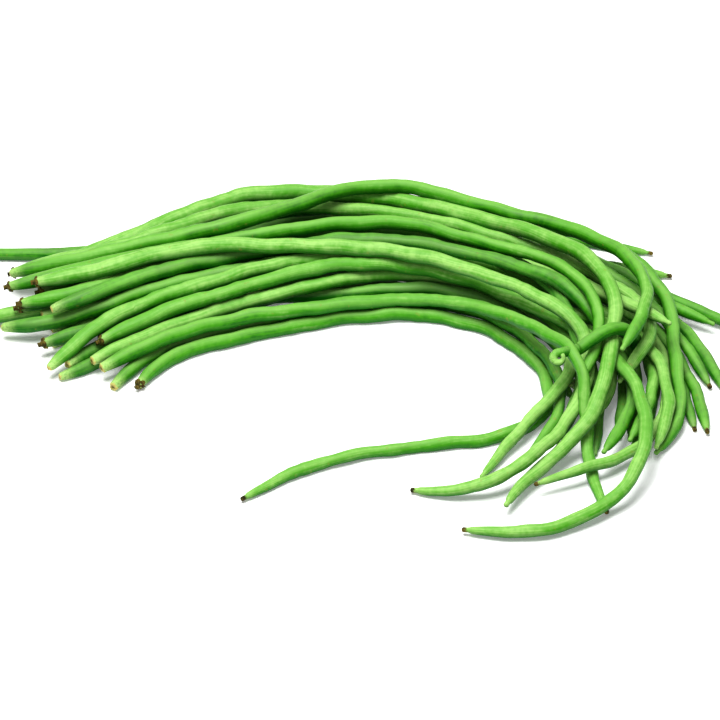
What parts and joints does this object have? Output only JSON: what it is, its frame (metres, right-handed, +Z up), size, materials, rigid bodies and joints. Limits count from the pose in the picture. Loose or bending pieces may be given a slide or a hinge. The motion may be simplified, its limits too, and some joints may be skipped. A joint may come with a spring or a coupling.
{
  "type": "yardlong bean bunch",
  "caption": "Bunch of fresh yardlong beans lying in an arched heap, tied at the throat by one slim bean wound round it, tips fanned out.",
  "frame": {"origin": "on the table, under the middle of the bunch's bounding box", "axes": "+X from the cut stem ends towards the turned side, +Y away from the viewer, +Z up from the table"},
  "size_m": [0.4496, 0.3028, 0.0439],
  "materials": {
    "pod_green": "satin, fresh plant skin",
    "tie_green": "satin, fresh plant skin"
  },
  "bodies": {
    "root": {"bean_front_inner": "pod_green", "bean_front_floor": "pod_green", "bean_front_ridge": "pod_green", "bean_front_third": "pod_green", "bean_long_hook": "pod_green", "bean_pale_low_end": "pod_green", "bean_under_low_end": "pod_green", "bean_left_reacher": "pod_green", "bean_brown_stub": "pod_green", "bean_blunt_end": "pod_green", "bean_pale_top": "pod_green", "bean_shoulder_row": "pod_green", "bean_crossing": "pod_green", "bean_diving": "pod_green", "bean_outline_high": "pod_green", "bean_far_left": "pod_green", "bean_right_outer": "pod_green", "bean_dark_row": "pod_green", "bean_dark_low": "pod_green", "bean_back_nib": "pod_green", "bean_right_edge_dark": "pod_green", "bean_right_edge_pale": "pod_green", "bean_right_tip_a": "pod_green", "bean_right_tip_b": "pod_green", "bean_right_tip_c": "pod_green", "bean_right_tip_d": "pod_green", "bean_under_hook": "pod_green", "bean_blunt_right": "pod_green", "bean_inner_right": "pod_green", "bean_inner_middle": "pod_green", "bean_inner_front": "pod_green", "tie_bean": "tie_green"}
  },
  "joints": []
}
